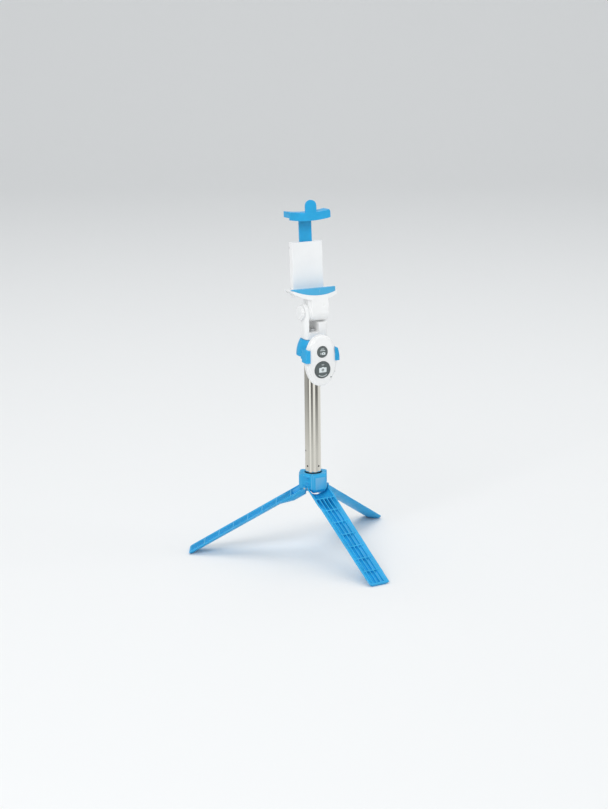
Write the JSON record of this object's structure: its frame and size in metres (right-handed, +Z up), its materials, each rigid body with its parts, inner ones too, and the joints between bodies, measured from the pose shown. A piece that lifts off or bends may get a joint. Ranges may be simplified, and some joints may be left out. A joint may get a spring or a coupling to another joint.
{
  "type": "selfie stick",
  "caption": "Telescopic selfie stick on a folding tripod stand, with a tilting, turning sprung phone clamp and a clip-on wireless remote.",
  "frame": {"origin": "on the floor under the pole: the centre of the circle on which the three feet stand", "axes": "+Z up along the pole, the phone clamp faces -Y, +X to the clamp's right as seen from the front"},
  "size_m": [0.2106, 0.1959, 0.3327],
  "materials": {
    "blue_plastic": "moulded ABS, satin to gloss",
    "white_plastic": "moulded ABS, satin to gloss",
    "white_gloss": "moulded ABS, gloss",
    "polished_tube": "polished stainless steel",
    "zinc_steel": "zinc plated",
    "spring_steel": "spring wire",
    "cell_steel": "nickel plated",
    "bronze": "phosphor bronze",
    "brass": "turned brass",
    "black_plastic": "acetal",
    "black_rubber": "fibre and rubber friction washer",
    "blue_rubber": "soft moulded rubber",
    "grey_rubber": "soft moulded rubber",
    "grey_plastic": "moulded ABS",
    "board_green": "glass-fibre circuit board",
    "clear_plastic": "clear light pipe"
  },
  "bodies": {
    "stand": {"hub": "blue_plastic", "pole_plug": "black_plastic", "base_screw": "zinc_steel", "pole_1": "polished_tube"},
    "leg_1": {"leg_1": "blue_plastic", "leg_pin_1": "zinc_steel"},
    "leg_2": {"leg_2": "blue_plastic", "leg_pin_2": "zinc_steel"},
    "leg_3": {"leg_3": "blue_plastic", "leg_pin_3": "zinc_steel"},
    "pole_2": {"pole_2": "polished_tube", "bush_2": "bronze"},
    "pole_3": {"pole_3": "polished_tube", "bush_3": "bronze"},
    "pole_4": {"pole_4": "polished_tube", "bush_4": "bronze"},
    "pole_5": {"pole_5": "polished_tube", "bush_5": "bronze", "top_insert": "zinc_steel", "swivel_screw": "zinc_steel", "swivel_washer": "zinc_steel"},
    "neck": {"neck": "white_plastic", "tilt_bolt": "zinc_steel", "tilt_washer": "black_rubber"},
    "knob": {"tilt_knob": "white_plastic", "knob_nut": "brass"},
    "clamp": {"clamp_base": "white_plastic", "lower_pad": "blue_rubber", "back_cover": "white_plastic", "cover_screws": "zinc_steel", "jaw_spring_left": "spring_steel", "jaw_spring_right": "spring_steel"},
    "jaw": {"upper_jaw": "blue_plastic", "upper_pad": "grey_rubber"},
    "clip": {"remote_clip": "blue_plastic"},
    "remote": {"remote_front": "white_gloss", "remote_back_shell": "white_gloss", "circuit_board": "board_green", "dome_switches": "spring_steel", "coin_cell": "cell_steel", "battery_contact": "bronze", "light_pipe": "clear_plastic"},
    "shutter": {"shutter_button": "grey_rubber"},
    "mode": {"mode_button": "grey_rubber"},
    "power": {"power_switch": "grey_plastic"},
    "door": {"battery_door": "white_gloss"}
  },
  "joints": [
    {"name": "leg_1_fold", "type": "hinge", "parent": "stand", "child": "leg_1", "pos_m": [0.00101, -0.00834, 0.06424], "axis": [-0.9928, -0.1201, 0], "range_deg": [0, 119.7]},
    {"name": "leg_2_fold", "type": "hinge", "parent": "stand", "child": "leg_2", "pos_m": [0.00672, 0.00504, 0.06424], "axis": [0.6004, -0.7997, 0], "range_deg": [0, 119.7]},
    {"name": "leg_3_fold", "type": "hinge", "parent": "stand", "child": "leg_3", "pos_m": [-0.00773, 0.0033, 0.06424], "axis": [0.3923, 0.9198, 0], "range_deg": [0, 119.7]},
    {"name": "pole_2_slide", "type": "slide", "parent": "stand", "child": "pole_2", "axis": [0, 0, 1], "range_m": [0, 0.095]},
    {"name": "pole_3_slide", "type": "slide", "parent": "pole_2", "child": "pole_3", "axis": [0, 0, 1], "range_m": [0, 0.095]},
    {"name": "pole_4_slide", "type": "slide", "parent": "pole_3", "child": "pole_4", "axis": [0, 0, 1], "range_m": [0, 0.095]},
    {"name": "pole_5_slide", "type": "slide", "parent": "pole_4", "child": "pole_5", "axis": [0, 0, 1], "range_m": [0, 0.095]},
    {"name": "head_turn", "type": "hinge", "parent": "pole_5", "child": "neck", "pos_m": [0, 0, 0.212], "axis": [0, 0, 1], "continuous": true},
    {"name": "knob_turn", "type": "hinge", "parent": "neck", "child": "knob", "pos_m": [-0.011, 0, 0.2298], "axis": [-1, 0, 0], "continuous": true},
    {"name": "head_tilt", "type": "hinge", "parent": "neck", "child": "clamp", "pos_m": [0, 0, 0.2298], "axis": [1, 0, 0], "range_deg": [-86, 94]},
    {"name": "jaw_slide", "type": "slide", "parent": "clamp", "child": "jaw", "axis": [0, 0.0689, 0.9976], "range_m": [-0.012, 0.018], "stiffness_N_per_m": 150, "deforming": ["jaw_spring_left", "jaw_spring_right"]},
    {"name": "clip_turn", "type": "hinge", "parent": "stand", "child": "clip", "pos_m": [0, 0, 0.1975], "axis": [0, 0, 1], "continuous": true},
    {"name": "remote_slide", "type": "slide", "parent": "clip", "child": "remote", "axis": [0, 0, -1], "range_m": [0, 0.04]},
    {"name": "shutter_press", "type": "slide", "parent": "remote", "child": "shutter", "axis": [-0.0593, 0.9982, 0], "range_m": [0, 0.0005], "stiffness_N_per_m": 1500},
    {"name": "mode_press", "type": "slide", "parent": "remote", "child": "mode", "axis": [-0.0593, 0.9982, 0], "range_m": [0, 0.0005], "stiffness_N_per_m": 1500},
    {"name": "power_slide", "type": "slide", "parent": "remote", "child": "power", "axis": [0, 0, 1], "range_m": [0, 0.0018]},
    {"name": "door_turn", "type": "hinge", "parent": "remote", "child": "door", "pos_m": [0.00085, -0.01422, 0.18475], "axis": [0.0593, -0.9982, 0], "range_deg": [0, 30]}
  ]
}
